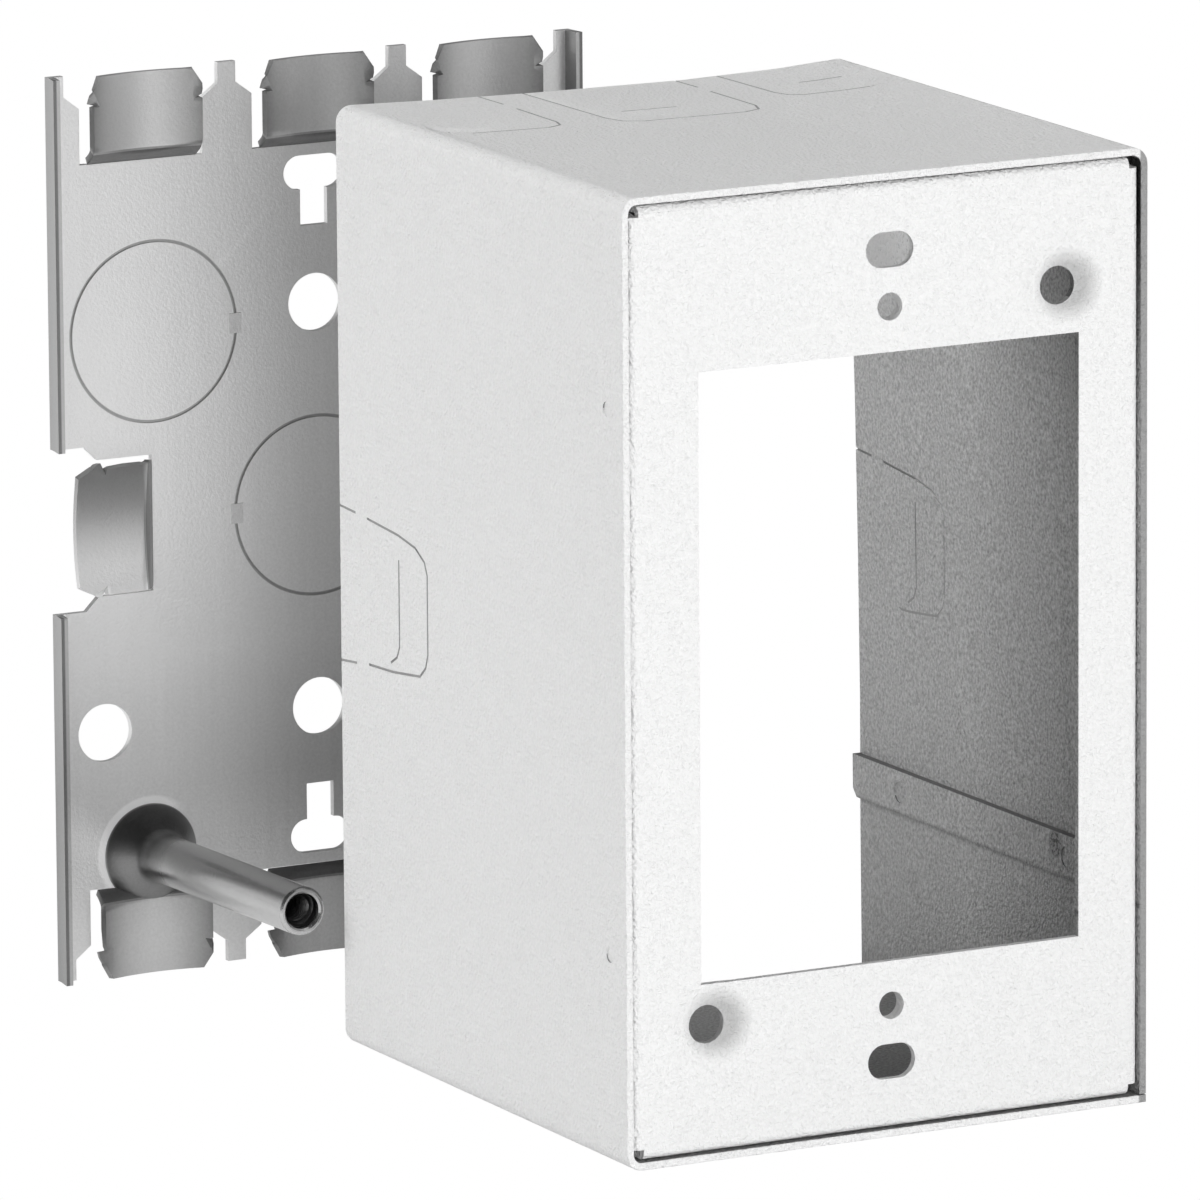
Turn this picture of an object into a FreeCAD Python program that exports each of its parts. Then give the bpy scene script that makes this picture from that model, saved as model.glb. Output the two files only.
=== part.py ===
import FreeCAD, Part
import math
import os
import re
import Sketcher

# Raceway outlet box: a painted cover and the stamped wall plate that stands behind it.
# The frame has +Z up, +Y away from the device opening and +X to the right.
doc = FreeCAD.newDocument("RacewayOutletBox")

# Sizes in millimetres
SIZES = [
    ("cover_width", 69.7),
    ("cover_height", 115.0),
    ("cover_depth", 72.75),
    ("cover_sheet", 0.9),
    ("cover_bend", 2.0),
    ("seam_gap", 0.12),
    ("spring_top", 0.5),
    ("spring_low", 2.55),
    ("spring_strap", 2.4),
    ("sag_left", 0.35),
    ("sag_mid", 0.8),
    ("sag_right", 0.5),
    ("score_width", 0.3),
    ("score_depth", 0.22),
    ("panel_recess", 0.2),
    ("panel_gap", 0.2),
    ("panel_bend", 1.05),
    ("panel_flange", 8.0),
    ("relief_width", 1.4),
    ("relief_height", 1.3),
    ("opening_left", 24.88),
    ("opening_right", 25.65),
    ("opening_height", 72.6),
    ("device_axis", 0.4),
    ("device_spacing", 83.34),
    ("device_hole", 1.65),
    ("device_collar", 2.5),
    ("collar_length", 0.9),
    ("slot_spacing", 96.8),
    ("slot_width", 6.3),
    ("slot_height", 4.2),
    ("screw_offset_x", 0.4),
    ("screw_offset_z", 0.4),
    ("screw_hole", 2.3),
    ("dimple_rim", 5.6),
    ("dimple_floor", 2.9),
    ("dimple_depth", 0.7),
    ("weld_front", 4.0),
    ("weld_height", 32.3),
    ("weld_mark", 0.9),
    ("weld_depth", 0.15),
    ("strap_sheet", 1.0),
    ("strap_height", 5.3),
    ("strap_length", 61.5),
    ("strap_overhang", 0.1),
    ("strap_middle", 30.8),
    ("strap_tilt", 1.0),
    ("strap_corner", 1.0),
    ("strap_weld", 1.3),
    ("post_spacing_x", 47.0),
    ("post_spacing_z", 83.2),
    ("post_low", 40.45),
    ("plate_sheet", 0.9),
    ("lip_clearance", 0.25),
    ("lip_depth", 2.3),
    ("lip_lean", 0.35),
    ("height_clearance", 0.05),
    ("tongue_pitch", 23.5),
    ("tongue_half", 7.35),
    ("tongue_slit", 1.0),
    ("tongue_end_half", 6.2),
    ("tongue_rise", 2.26),
    ("tongue_arch", 1.2),
    ("riser_foot", 11.15),
    ("riser_run", 2.0),
    ("barb_start", 1.85),
    ("barb_end", 3.7),
    ("barb_in", 0.95),
    ("barb_out", 0.5),
    ("barb_back", 1.2),
    ("finger_tip", 1.22),
    ("finger_step", 2.6),
    ("finger_slope", 1.6),
    ("web_tip", 2.1),
    ("side_notch_half", 10.3),
    ("side_notch_foot", 8.55),
    ("side_chamfer_in", 5.95),
    ("side_chamfer_out", 4.2),
    ("side_riser_foot", 13.35),
    ("side_end_gap", 2.45),
    ("round_hole", 3.63),
    ("side_hole_x", 29.5),
    ("side_hole_z", 25.75),
    ("wall_hole_z", 25.5),
    ("key_head_half", 4.1),
    ("key_head_radius", 2.13),
    ("key_head_z", 41.85),
    ("key_slot_half", 1.85),
    ("key_slot_end", 35.2),
    ("knockout_radius", 11.1),
    ("knockout_x", 22.15),
    ("knockout_z", 23.9),
    ("tab_half_width", 0.85),
    ("tab_half_height", 1.25),
    ("tab_proud", 0.15),
    ("post_base", 6.15),
    ("post_flare", 7.5),
    ("post_root", 3.15),
    ("post_tip", 2.9),
    ("post_length", 42.0),
    ("post_chamfer", 0.45),
    ("post_bore", 2.0),
    ("bore_flare", 4.6),
    ("plate_setback", 118.5),
    ("plate_shift", 15.07),
]
sheet = doc.addObject("Spreadsheet::Sheet", "Sizes")
NAMES = set()
row = 0
for alias, amount in SIZES:
    row = row + 1
    sheet.set("A%d" % row, alias)
    sheet.set("B%d" % row, str(amount))
    sheet.setAlias("B%d" % row, alias)
    NAMES.add(alias)
doc.recompute()

WORD = re.compile(r"[a-z][a-z0-9_]*")


def bound(text):
    # Writes an expression on the sheet's names so that other objects can hold it.
    return WORD.sub(lambda m: "Sizes." + m.group() if m.group() in NAMES else m.group(), str(text))


def number(text):
    # Works out an expression on the sheet's names.
    found = sheet.evalExpression(bound(text))
    return float(getattr(found, "Value", found))


def new_body(label):
    body = doc.addObject("PartDesign::Body", label)
    body.Label = label
    return body


def plane(body, role):
    for feature in body.Origin.OriginFeatures:
        if feature.Role == role:
            return feature
    raise RuntimeError("no plane " + role)


def new_sketch(body, label, role, offset=("0", "0", "0"), turn=None):
    # A sketch on one of the body's own planes, moved by offset in that plane's axes.
    sketch = body.newObject("Sketcher::SketchObject", label)
    sketch.AttachmentSupport = [(plane(body, role), "")]
    sketch.MapMode = "FlatFace"
    if turn is not None:
        axis, degrees = turn
        sketch.AttachmentOffset = FreeCAD.Placement(FreeCAD.Vector(), FreeCAD.Rotation(axis, number(degrees)))
    for letter, text in zip("xyz", offset):
        if text != "0":
            sketch.setExpression("AttachmentOffset.Base." + letter, bound(text))
    return sketch


def pin(sketch, edge, end, x, y):
    # Holds one point of the sketch at the expressions x and y.
    for kind, text in (("DistanceX", x), ("DistanceY", y)):
        index = sketch.addConstraint(Sketcher.Constraint(kind, -1, 1, edge, end, number(text)))
        if NAMES.intersection(WORD.findall(str(text))):
            sketch.setExpression("Constraints[%d]" % index, bound(text))


def add_loop(sketch, points):
    # A closed outline; a point with a third entry starts an arc of that radius (left turn if positive).
    count = len(points)
    spots = [FreeCAD.Vector(number(p[0]), number(p[1]), 0) for p in points]
    first = sketch.GeometryCount
    for i in range(count):
        a = spots[i]
        b = spots[(i + 1) % count]
        if len(points[i]) == 2:
            sketch.addGeometry(Part.LineSegment(a, b), False)
        else:
            r = number(points[i][2])
            half = (b - a) * 0.5
            side = FreeCAD.Vector(-half.y, half.x, 0).normalize()
            reach = max(r * r - half.Length ** 2, 0.0) ** 0.5
            centre = a + half + side * (reach if r > 0 else -reach)
            ends = (a, b) if r > 0 else (b, a)
            angles = [math.atan2(p.y - centre.y, p.x - centre.x) for p in ends]
            circle = Part.Circle(centre, FreeCAD.Vector(0, 0, 1), abs(r))
            sketch.addGeometry(Part.ArcOfCircle(circle, angles[0], angles[1]), False)
    for i in range(count):
        edge = first + i
        arc = len(points[i]) == 3
        start = 1
        finish = 2
        if arc and number(points[i][2]) < 0:
            start = 2
            finish = 1
        pin(sketch, edge, start, points[i][0], points[i][1])
        following = points[(i + 1) % count]
        pin(sketch, edge, finish, following[0], following[1])
        if arc and (spots[(i + 1) % count] - spots[i]).Length > 1.999 * abs(number(points[i][2])):
            # A half circle is held by its centre, on the line between its ends.
            upright = abs(spots[(i + 1) % count].x - spots[i].x) < 1e-6
            kind = "DistanceX" if upright else "DistanceY"
            text = points[i][0] if upright else points[i][1]
            index = sketch.addConstraint(Sketcher.Constraint(kind, -1, 1, edge, 3, number(text)))
            sketch.setExpression("Constraints[%d]" % index, bound(text))
        elif arc:
            index = sketch.addConstraint(Sketcher.Constraint("Radius", edge, abs(number(points[i][2]))))
            sketch.setExpression("Constraints[%d]" % index, bound("abs(" + points[i][2] + ")"))
    return sketch


def add_circle(sketch, x, y, radius):
    spot = FreeCAD.Vector(number(x), number(y), 0)
    edge = sketch.addGeometry(Part.Circle(spot, FreeCAD.Vector(0, 0, 1), number(radius)), False)
    pin(sketch, edge, 3, x, y)
    index = sketch.addConstraint(Sketcher.Constraint("Radius", edge, number(radius)))
    sketch.setExpression("Constraints[%d]" % index, bound(radius))
    return sketch


def pad(body, label, sketch, length, back=False):
    feature = body.newObject("PartDesign::Pad", label)
    feature.Profile = sketch
    feature.setExpression("Length", bound(length))
    feature.Reversed = back
    sketch.Visibility = False
    return feature


def pocket(body, label, sketch, length=None, both=False, back=False):
    feature = body.newObject("PartDesign::Pocket", label)
    feature.Profile = sketch
    if length is None:
        feature.Type = "ThroughAll"
        feature.Midplane = both
    else:
        feature.setExpression("Length", bound(length))
        feature.Midplane = both
    feature.Reversed = back
    sketch.Visibility = False
    return feature


def spin(body, label, sketch, kind):
    feature = body.newObject("PartDesign::" + kind, label)
    feature.Profile = sketch
    feature.ReferenceAxis = (sketch, ["H_Axis"])
    feature.Angle = 360.0
    sketch.Visibility = False
    return feature


def loft(body, label, first, second):
    feature = body.newObject("PartDesign::AdditiveLoft", label)
    feature.Profile = first
    feature.Sections = [second]
    feature.Ruled = True
    first.Visibility = False
    second.Visibility = False
    return feature


def rectangle(x0, y0, x1, y1):
    return [(x0, y0), (x1, y0), (x1, y1), (x0, y1)]


def minus(text):
    return "-(" + str(text) + ")"


# Sleeve: four walls folded from one strip, right wall sprung open towards the back
sleeve = new_body("box_sleeve")
W = "cover_width/2"
H = "cover_height/2"
T = "cover_sheet"
TOP_STEPS = [(-22, "sag_left"), (-8, "(sag_left+sag_mid)*0.55"), (12, "sag_mid"), (25, "sag_right")]
WALL_STEPS = [
    (36, "spring_strap*0.5"),
    (16, "spring_strap*0.74"),
    (-4, "spring_strap*0.9"),
    (-22, "spring_strap"),
    (-38, "spring_strap"),
]


def sleeve_outline(back):
    # The strip's section seen from the front, at the front edge or at the free back edge.
    pull = "1" if back else "0"
    left = "-(" + W + ")"
    low = "-(" + H + ")"
    right = W + "+" + pull + "*spring_top"
    bend = "cover_bend"
    small = "(cover_bend-cover_sheet)"
    foot = low + "+" + T + "+seam_gap"
    points = [(left, low + "+" + bend), (left, H + "-" + bend, "-" + bend), (left + "+" + bend, H)]
    for x, drop in TOP_STEPS:
        points.append((str(x), H + "-" + pull + "*" + drop))
    points.append((right + "-" + bend, H, "-" + bend))
    points.append((right, H + "-" + bend))
    for z, out in WALL_STEPS:
        points.append((W + "+" + pull + "*" + out, str(z)))
    points.append((W + "+" + pull + "*spring_low", foot))
    points.append((W + "+" + pull + "*spring_low-" + T, foot))
    for z, out in reversed(WALL_STEPS):
        points.append((W + "+" + pull + "*" + out + "-" + T, str(z)))
    points.append((right + "-" + T, H + "-" + bend, small))
    points.append((right + "-" + bend, H + "-" + T))
    for x, drop in reversed(TOP_STEPS):
        points.append((str(x), H + "-" + pull + "*" + drop + "-" + T))
    points.append((left + "+" + bend, H + "-" + T, small))
    points.append((left + "+" + T, H + "-" + bend))
    points.append((left + "+" + T, low + "+" + bend, small))
    points.append((left + "+" + bend, low + "+" + T))
    points.append((W, low + "+" + T))
    points.append((W, low))
    points.append((left + "+" + bend, low, "-" + bend))
    return points


front_ring = add_loop(new_sketch(sleeve, "SleeveFront", "XZ_Plane"), sleeve_outline(False))
back_ring = add_loop(
    new_sketch(sleeve, "SleeveBack", "XZ_Plane", ("0", "0", "-cover_depth")), sleeve_outline(True))
sleeve_walls = loft(sleeve, "SleeveWalls", front_ring, back_ring)
doc.recompute()


def ribbon(points):
    # A thin closed outline along an open line of points, as a cutting die leaves it.
    spots = [FreeCAD.Vector(x, y, 0) for x, y in points]
    half = number("score_width") / 2
    left = []
    right = []
    for i, spot in enumerate(spots):
        before = (spot - spots[i - 1]).normalize() if i > 0 else (spots[1] - spots[0]).normalize()
        after = (spots[i + 1] - spot).normalize() if i + 1 < len(spots) else before
        middle = (before + after).normalize()
        across = FreeCAD.Vector(-middle.y, middle.x, 0)
        reach = half / max(middle.dot(before), 0.5)
        left.append(spot + across * reach)
        right.append(spot - across * reach)
    ring = right + left[::-1]
    return [(str(round(p.x, 4)), str(round(p.y, 4))) for p in ring]


# Scored knockouts of the cover, as lines of points (depth from the front, then height or width)
SIDE_SCORES = [
    [(73.0, 9.0), (68.6, 8.8)],
    [(65.6, 8.6), (57.4, 8.0), (53.0, 7.25), (50.6, 5.9), (49.9, 4.4), (49.9, -5.2), (50.5, -6.9), (52.0, -8.2),
     (59.1, -8.95), (65.4, -9.2)],
    [(68.6, -9.6), (73.0, -10.0)],
    [(57.3, 5.0), (57.3, -5.6), (58.0, -7.0), (59.6, -7.9)],
]
TOP_LEFT = [
    [(-32.0, 73.0), (-32.2, 52.5), (-31.4, 49.6), (-29.0, 48.3), (-19.0, 48.3), (-16.9, 49.3), (-16.2, 51.5),
     (-15.8, 62.6)],
    [(-15.7, 66.2), (-15.7, 73.0)],
]
TOP_MIDDLE = [
    [(-9.7, 73.0), (-9.7, 51.6), (-8.9, 48.6), (-6.6, 47.4), (7.0, 47.4), (9.4, 48.5), (10.4, 51.2), (10.8, 63.2)],
    [(11.0, 66.8), (11.0, 73.0)],
    [(-5.7, 55.0), (1.8, 55.0)],
]
TOP_RIGHT = [
    [(16.7, 73.0), (16.7, 58.0), (17.3, 55.6), (18.9, 54.5), (28.0, 54.5), (30.2, 55.4), (31.2, 57.8), (31.4, 64.0)],
    [(31.5, 67.4), (31.5, 73.0)],
    [(22.5, 62.5), (28.4, 62.5)],
]
AXIS_X = FreeCAD.Vector(1, 0, 0)
AXIS_Y = FreeCAD.Vector(0, 1, 0)
LOW = "-(" + H + ")"
LEFT = "-(" + W + ")"
WALL_TURN = (AXIS_Y, "-atan(spring_strap*0.82/cover_depth)")
SCORES = [
    ("LeftOut", "YZ_Plane", ("0", "0", LEFT), None, SIDE_SCORES),
    ("RightIn", "YZ_Plane", ("0", "0", W + "-" + T), WALL_TURN, SIDE_SCORES),
    ("RightOut", "YZ_Plane", ("0", "0", W), WALL_TURN, SIDE_SCORES),
    ("TopLeft", "XY_Plane", ("0", "0", H), (AXIS_X, "-atan(sag_left*0.9/cover_depth)"), TOP_LEFT),
    ("TopMiddle", "XY_Plane", ("0", "0", H), (AXIS_X, "-atan(sag_mid*0.9/cover_depth)"), TOP_MIDDLE),
    ("TopRight", "XY_Plane", ("0", "0", H), (AXIS_X, "-atan(sag_right/cover_depth)"), TOP_RIGHT),
    ("LowLeft", "XY_Plane", ("0", "0", LOW), None, TOP_LEFT),
    ("LowMiddle", "XY_Plane", ("0", "0", LOW), None, TOP_MIDDLE),
    ("LowRight", "XY_Plane", ("0", "0", LOW), None, TOP_RIGHT),
]
for label, role, offset, turn, lines in SCORES:
    drawing = new_sketch(sleeve, label + "Lines", role, offset, turn)
    for line in lines:
        add_loop(drawing, ribbon(line))
    pocket(sleeve, label + "Score", drawing, "2*score_depth", both=True)

# Two spot weld marks on the outside of the left wall
welds = new_sketch(sleeve, "WeldMarks", "YZ_Plane", ("0", "0", LEFT))
add_circle(welds, "weld_front", "weld_height", "weld_mark")
add_circle(welds, "weld_front", "-weld_height", "weld_mark")
pocket(sleeve, "WeldMarkCut", welds, "2*weld_depth", both=True)

# Front panel: a pan with four flanges inside the front of the sleeve
panel = new_body("front_panel")
PX0 = LEFT + "+" + T
PX1 = W + "-" + T + "-panel_gap*0.6"
PZ1 = H + "-" + T + "-panel_gap"
PZ0 = minus(PZ1)
RW = "relief_width"
RH = "relief_height"
face = new_sketch(panel, "PanelFace", "XZ_Plane", ("0", "0", "-panel_recess"))
add_loop(face, [
    (PX0 + "+" + RW, PZ0), (PX1 + "-" + RW, PZ0), (PX1 + "-" + RW, PZ0 + "+" + RH), (PX1, PZ0 + "+" + RH),
    (PX1, PZ1 + "-" + RH), (PX1 + "-" + RW, PZ1 + "-" + RH), (PX1 + "-" + RW, PZ1), (PX0 + "+" + RW, PZ1),
    (PX0 + "+" + RW, PZ1 + "-" + RH), (PX0, PZ1 + "-" + RH), (PX0, PZ0 + "+" + RH),
    (PX0 + "+" + RW, PZ0 + "+" + RH),
])
pad(panel, "PanelSheet", face, T, back=True)
FLANGES = [
    ("FlangeLeft", PX0, PZ0 + "+" + RH, PX0 + "+" + T, PZ1 + "-" + RH),
    ("FlangeRight", PX1 + "-" + T, PZ0 + "+" + RH, PX1, PZ1 + "-" + RH),
    ("FlangeTop", PX0 + "+" + RW, PZ1 + "-" + T, PX1 + "-" + RW, PZ1),
    ("FlangeLow", PX0 + "+" + RW, PZ0, PX1 + "-" + RW, PZ0 + "+" + T),
]
for label, x0, z0, x1, z1 in FLANGES:
    drawing = new_sketch(panel, label + "Outline", "XZ_Plane", ("0", "0", "-panel_recess"))
    add_loop(drawing, rectangle(x0, z0, x1, z1))
    last = pad(panel, label, drawing, T + "+panel_flange", back=True)
doc.recompute()


def edges_at(shape, tests):
    # Straight edges whose middle meets one of the tests.
    found = []
    for i, edge in enumerate(shape.Edges):
        middle = edge.CenterOfMass
        if edge.Length > 20 and any(test(middle) for test in tests):
            found.append("Edge%d" % (i + 1))
    return found


x0 = number(PX0)
x1 = number(PX1)
z1 = number(PZ1)
y0 = number("panel_recess")
bends = edges_at(last.Shape, [
    lambda p: abs(p.y - y0) < 0.01 and (abs(p.x - x0) < 0.01 or abs(p.x - x1) < 0.01),
    lambda p: abs(p.y - y0) < 0.01 and abs(abs(p.z) - z1) < 0.01,
])
rounding = panel.newObject("PartDesign::Fillet", "PanelBends")
rounding.Base = (last, bends)
rounding.setExpression("Radius", bound("panel_bend"))

# Device collars and the dished seats of the two cover screws
SCREWS = [
    ("Upper", "post_spacing_x/2-screw_offset_x", "post_spacing_z/2+screw_offset_z"),
    ("Lower", "-post_spacing_x/2-screw_offset_x", "-post_spacing_z/2+screw_offset_z"),
]
Y0 = "panel_recess"
for side in ("1", "-1"):
    name = "Collar" + ("Upper" if side == "1" else "Lower")
    collar = new_sketch(panel, name, "XZ_Plane", ("0", "0", "-panel_recess-" + T))
    add_circle(collar, "device_axis", side + "*device_spacing/2", "device_collar")
    pad(panel, collar.Label + "Pad", collar, "collar_length", back=True)
for side, x, z in SCREWS:
    boss = new_sketch(panel, side + "DishBack", "YZ_Plane", ("0", z, x))
    add_loop(boss, [
        (Y0 + "+" + T + "*0.5", "0"), (Y0 + "+" + T + "*0.5", "dimple_rim+" + T + "*0.4"),
        (Y0 + "+" + T, "dimple_rim+" + T + "*0.4"), (Y0 + "+" + T + "+dimple_depth", "dimple_floor+" + T + "*0.4"),
        (Y0 + "+" + T + "+dimple_depth", "0"),
    ])
    spin(panel, side + "DishBoss", boss, "Revolution")
    dish = new_sketch(panel, side + "DishFront", "YZ_Plane", ("0", z, x))
    add_loop(dish, [
        ("-1", "0"), ("-1", "dimple_rim"), (Y0, "dimple_rim"), (Y0 + "+dimple_depth", "dimple_floor"),
        (Y0 + "+dimple_depth", "0"),
    ])
    spin(panel, side + "DishCut", dish, "Groove")

# Device opening, device screw holes, slots and cover screw holes
openings = new_sketch(panel, "Openings", "XZ_Plane")
add_loop(openings, rectangle("-opening_left", "-opening_height/2", "opening_right", "opening_height/2"))
for side in ("1", "-1"):
    add_circle(openings, "device_axis", side + "*device_spacing/2", "device_hole")
    low = side + "*slot_spacing/2-slot_height/2"
    high = side + "*slot_spacing/2+slot_height/2"
    out = "device_axis+slot_width/2-slot_height/2"
    into = "device_axis-slot_width/2+slot_height/2"
    add_loop(openings, [(into, low), (out, low, "slot_height/2"), (out, high), (into, high, "slot_height/2")])
for side, x, z in SCREWS:
    add_circle(openings, x, z, "screw_hole")
pocket(panel, "OpeningsCut", openings, "3*cover_bend+collar_length")

# Side strap: a flat strip welded to the inside of the sprung right wall
strap = new_body("side_strap")
strip = new_sketch(strap, "StrapOutline", "YZ_Plane")
SH = "strap_height/2"
SL = "strap_length"
add_loop(strip, [("0", "-(" + SH + ")"), (SL + "-strap_corner", "-(" + SH + ")"), (SL, "-(" + SH + ")+strap_corner"),
                 (SL, SH), ("0", SH)])
pad(strap, "StrapStrip", strip, "strap_sheet", back=True)
dots = new_sketch(strap, "StrapWelds", "YZ_Plane", ("0", "0", "-strap_sheet"))
add_circle(dots, SL + "-12.5", "0", "strap_weld")
add_circle(dots, "5.5", "0", "strap_weld")
pocket(strap, "StrapWeldCut", dots, "2*weld_depth", both=True)

# Base plate: outline of the stamped sheet, drawn from the plate's centre
plate = new_body("base_plate")
P = "(cover_width/2+lip_clearance+plate_sheet)"
Q = "(cover_height/2-cover_sheet-height_clearance)"
ROOT = "(" + Q + "-riser_foot)"
GAP = "(tongue_half+tongue_slit)"
STEP = "(" + Q + "-finger_step)"
SLOPE = "(" + Q + "-finger_step-finger_slope)"


def top_edge():
    # The upper edge from left to right: side web, three tongue bays and two fingers between them.
    web = "(" + P + "-web_tip)"
    points = [("-" + P, Q), ("-" + web, Q), ("-" + web, STEP)]
    for column in (-1, 0, 1):
        middle = "%d*tongue_pitch" % column
        points.append((middle + "-" + GAP, SLOPE))
        points.append((middle + "-" + GAP, ROOT))
        points.append((middle + "+" + GAP, ROOT))
        points.append((middle + "+" + GAP, SLOPE))
        if column < 1:
            tip = middle + "+tongue_pitch/2"
            points.append((tip + "-finger_tip", STEP))
            points.append((tip + "-finger_tip", Q))
            points.append((tip + "+finger_tip", Q))
            points.append((tip + "+finger_tip", STEP))
    return points + [(web, STEP), (web, Q), (P, Q)]


def right_edge():
    # The right edge from the top down, with the bay of the side tongue.
    half = "side_notch_half"
    foot = "side_notch_foot"
    near = P + "-side_chamfer_out"
    far = P + "-side_chamfer_in"
    root = P + "-side_riser_foot"
    return [(P, half), (near, half), (far, foot), (root, foot), (root, "-" + foot), (far, "-" + foot),
            (near, "-" + half), (P, "-" + half)]


half_outline = top_edge() + right_edge()
turned = [(minus(x), minus(z)) for x, z in half_outline]
blank = new_sketch(plate, "SheetOutline", "XZ_Plane")
add_loop(blank, half_outline + turned)
pad(plate, "Sheet", blank, "plate_sheet", back=True)
PT = "plate_sheet"

# Side lips bent forward along both edges, above and below the side bays
for side in ("", "-"):
    for low, high, level in (("-1*" + Q, "-side_notch_half", "Low"), ("side_notch_half", Q, "High")):
        name = "Lip" + ("Right" if side == "" else "Left") + level
        lip = new_sketch(plate, name + "Section", "XY_Plane", ("0", "0", low))
        add_loop(lip, [
            (side + "(" + P + "-" + PT + ")", "0"), (side + "(" + P + "-" + PT + ")", PT),
            (side + P, PT), (side + P, "0"), (side + "(" + P + "+lip_lean)", "-lip_depth"),
            (side + "(" + P + "-" + PT + "+lip_lean)", "-lip_depth"),
        ])
        pad(plate, name, lip, high + "-(" + low + ")")
doc.recompute()

# Raised tongues: the sheet is drawn forward over a riser into a dished tongue with chamfered ends
RADIUS = "((tongue_half^2+tongue_arch^2)/(2*tongue_arch))"

SIDE_RISE = "-tongue_rise"


def across(along_x, middle, depth, arched):
    # Section of a tongue across its width, drawn from the front face to the back face.
    near = middle + "-tongue_half"
    far = middle + "+tongue_half"
    deep = depth + "+" + PT
    curve = [("-" + RADIUS,), (), (RADIUS,), ()] if arched else [(), (), (), ()]
    if along_x:
        spots = [(near, depth), (far, depth), (far, deep), (near, deep)]
    else:
        spots = [(depth, far), (depth, near), (deep, near), (deep, far)]
    return [spot + bend for spot, bend in zip(spots, curve)]


def foot_and_crown(label, role, along_x, middle, foot, crown):
    # The riser: from the flat sheet at its foot to the arched section at its crown.
    low = new_sketch(plate, label + "Foot", role, ("0", "0", foot))
    add_loop(low, across(along_x, middle, "0", False))
    high = new_sketch(plate, label + "Crown", role, ("0", "0", crown))
    add_loop(high, across(along_x, middle, SIDE_RISE, True))
    loft(plate, label + "Riser", low, high)


COLUMNS = ("-tongue_pitch", "0*tongue_pitch", "tongue_pitch")
CROWN = "(" + ROOT + "+riser_run)"
for side, level in (("", "Upper"), ("-", "Lower")):
    for column, middle in zip("ABC", COLUMNS):
        foot_and_crown("Tongue" + level + column, "XY_Plane", True, middle, side + ROOT, side + CROWN)
    crowns = new_sketch(plate, "Tongues" + level, "XY_Plane", ("0", "0", side + CROWN))
    for middle in COLUMNS:
        add_loop(crowns, across(True, middle, SIDE_RISE, True))
    pad(plate, "Tongues" + level + "Pad", crowns, Q + "-" + CROWN, back=(side == "-"))
SIDE_ROOT = "(" + P + "-side_riser_foot)"
SIDE_CROWN = "(" + SIDE_ROOT + "+riser_run)"
SIDE_END = "(" + P + "-side_end_gap)"
for side, name in (("", "Right"), ("-", "Left")):
    foot_and_crown("Tongue" + name, "YZ_Plane", False, "0*tongue_pitch", side + SIDE_ROOT, side + SIDE_CROWN)
    crown = new_sketch(plate, "Tongue" + name + "Section", "YZ_Plane", ("0", "0", side + SIDE_CROWN))
    add_loop(crown, across(False, "0*tongue_pitch", SIDE_RISE, True))
    pad(plate, "Tongue" + name + "Pad", crown, SIDE_END + "-" + SIDE_CROWN, back=(side == "-"))

# Chamfered corners of the tongues' free ends
corners = new_sketch(plate, "TongueCorners", "XZ_Plane", ("0", "0", "2*tongue_rise"))
BEYOND = "tongue_slit*0.5"


def spots_of(middle, flip, side, end, swap, pairs):
    # Points given by their distance outside a tongue's flank and below its end.
    found = []
    for out, below in pairs:
        a = middle + flip + "(" + out + ")"
        b = side + "(" + end + "-(" + below + "))"
        found.append((b, a) if swap else (a, b))
    return found


CORNER = [("tongue_end_half", "0"), ("tongue_end_half", "-1"), ("tongue_half+" + BEYOND, "-1"),
          ("tongue_half+" + BEYOND, "barb_end"), ("tongue_half-barb_in", "barb_end"), ("tongue_half", "barb_start")]
FOLD = [("tongue_half", "barb_start"), ("tongue_half-barb_in", "barb_end"),
        ("tongue_half-barb_in-plate_sheet*0.8", "barb_end-plate_sheet*0.4"),
        ("tongue_half-plate_sheet*0.8", "barb_start-plate_sheet*0.4")]
TIP = [("tongue_half+barb_out", "barb_end-0.7"), ("tongue_half+barb_out-0.2", "barb_end-0.3"),
       ("tongue_half+barb_out-0.2-plate_sheet*0.8", "barb_end-0.3-plate_sheet*0.4"),
       ("tongue_half+barb_out-plate_sheet*0.8", "barb_end-0.7-plate_sheet*0.4")]
ENDS = []
for side, level in (("", "Upper"), ("-", "Lower")):
    for column, middle in zip("ABC", COLUMNS):
        ENDS.append((level + column, middle, side, Q, False))
ENDS.append(("Right", "0*tongue_pitch", "", SIDE_END, True))
ENDS.append(("Left", "0*tongue_pitch", "-", SIDE_END, True))
for label, middle, side, end, swap in ENDS:
    for flip in ("+", "-"):
        add_loop(corners, spots_of(middle, flip, side, end, swap, CORNER))
pocket(plate, "TongueCornersCut", corners, "4*tongue_rise")

# Barbs: each outer corner is bent back along a slanting fold
for label, middle, side, end, swap in ENDS:
    for flip, hand in (("+", "1"), ("-", "2")):
        name = "Barb" + label + hand
        fold = new_sketch(plate, name + "Fold", "XZ_Plane", ("0", "0", "tongue_rise-0.15"))
        add_loop(fold, spots_of(middle, flip, side, end, swap, FOLD))
        tip = new_sketch(plate, name + "Tip", "XZ_Plane", ("0", "0", "tongue_rise-barb_back"))
        add_loop(tip, spots_of(middle, flip, side, end, swap, TIP))
        loft(plate, name, fold, tip)

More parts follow.
